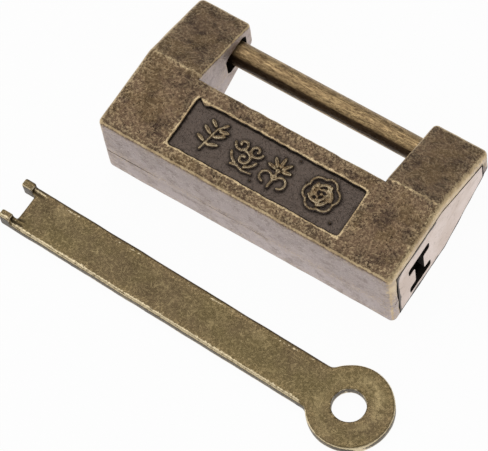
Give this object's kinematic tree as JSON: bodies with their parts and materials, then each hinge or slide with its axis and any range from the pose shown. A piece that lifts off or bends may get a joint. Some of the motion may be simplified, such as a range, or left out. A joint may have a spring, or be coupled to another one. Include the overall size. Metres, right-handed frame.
{
  "type": "padlock",
  "caption": "Cast sliding padlock of the old spring type with a straight shackle bar, a sunken ornamented panel and a loose flat key with a notched tip.",
  "frame": {"origin": "centre of the flat lower part of the back face, on which the lock lies", "axes": "+X along the lock towards the keyhole end, +Y towards the shackle bar, +Z out of the front face"},
  "size_m": [0.0667, 0.0477, 0.0147],
  "materials": {
    "cast_front": "antique bronze plating, worn bright on the edges",
    "cast_back": "antique bronze plating, worn bright on the edges",
    "end_plate": "bare pale metal, smooth",
    "inner_steel": "plain steel",
    "spring_steel": "blued spring steel",
    "bar_bronze": "antique bronze plating, rubbed along the bar",
    "key_brass": "antique brass, finely scratched, bright edges"
  },
  "bodies": {
    "case": {"front_shell": "cast_front", "back_shell": "cast_back", "keyhole_plate": "end_plate", "catch_plate": "inner_steel", "shell_pins": "inner_steel"},
    "shackle": {"head_plate": "end_plate", "shackle_rod": "bar_bronze", "stem": "inner_steel", "front_leaf": "spring_steel", "back_leaf": "spring_steel", "leaf_rivets": "inner_steel"},
    "key": {"key": "key_brass"}
  },
  "joints": [
    {"name": "shackle_slide", "type": "slide", "parent": "case", "child": "shackle", "axis": [-1, 0, 0], "range_m": [0, 0.048], "deforming": ["front_leaf", "back_leaf"]},
    {"name": "key_lift", "type": "slide", "parent": "case", "child": "key", "axis": [0, 0, 1], "range_m": [0, 0.04]}
  ]
}
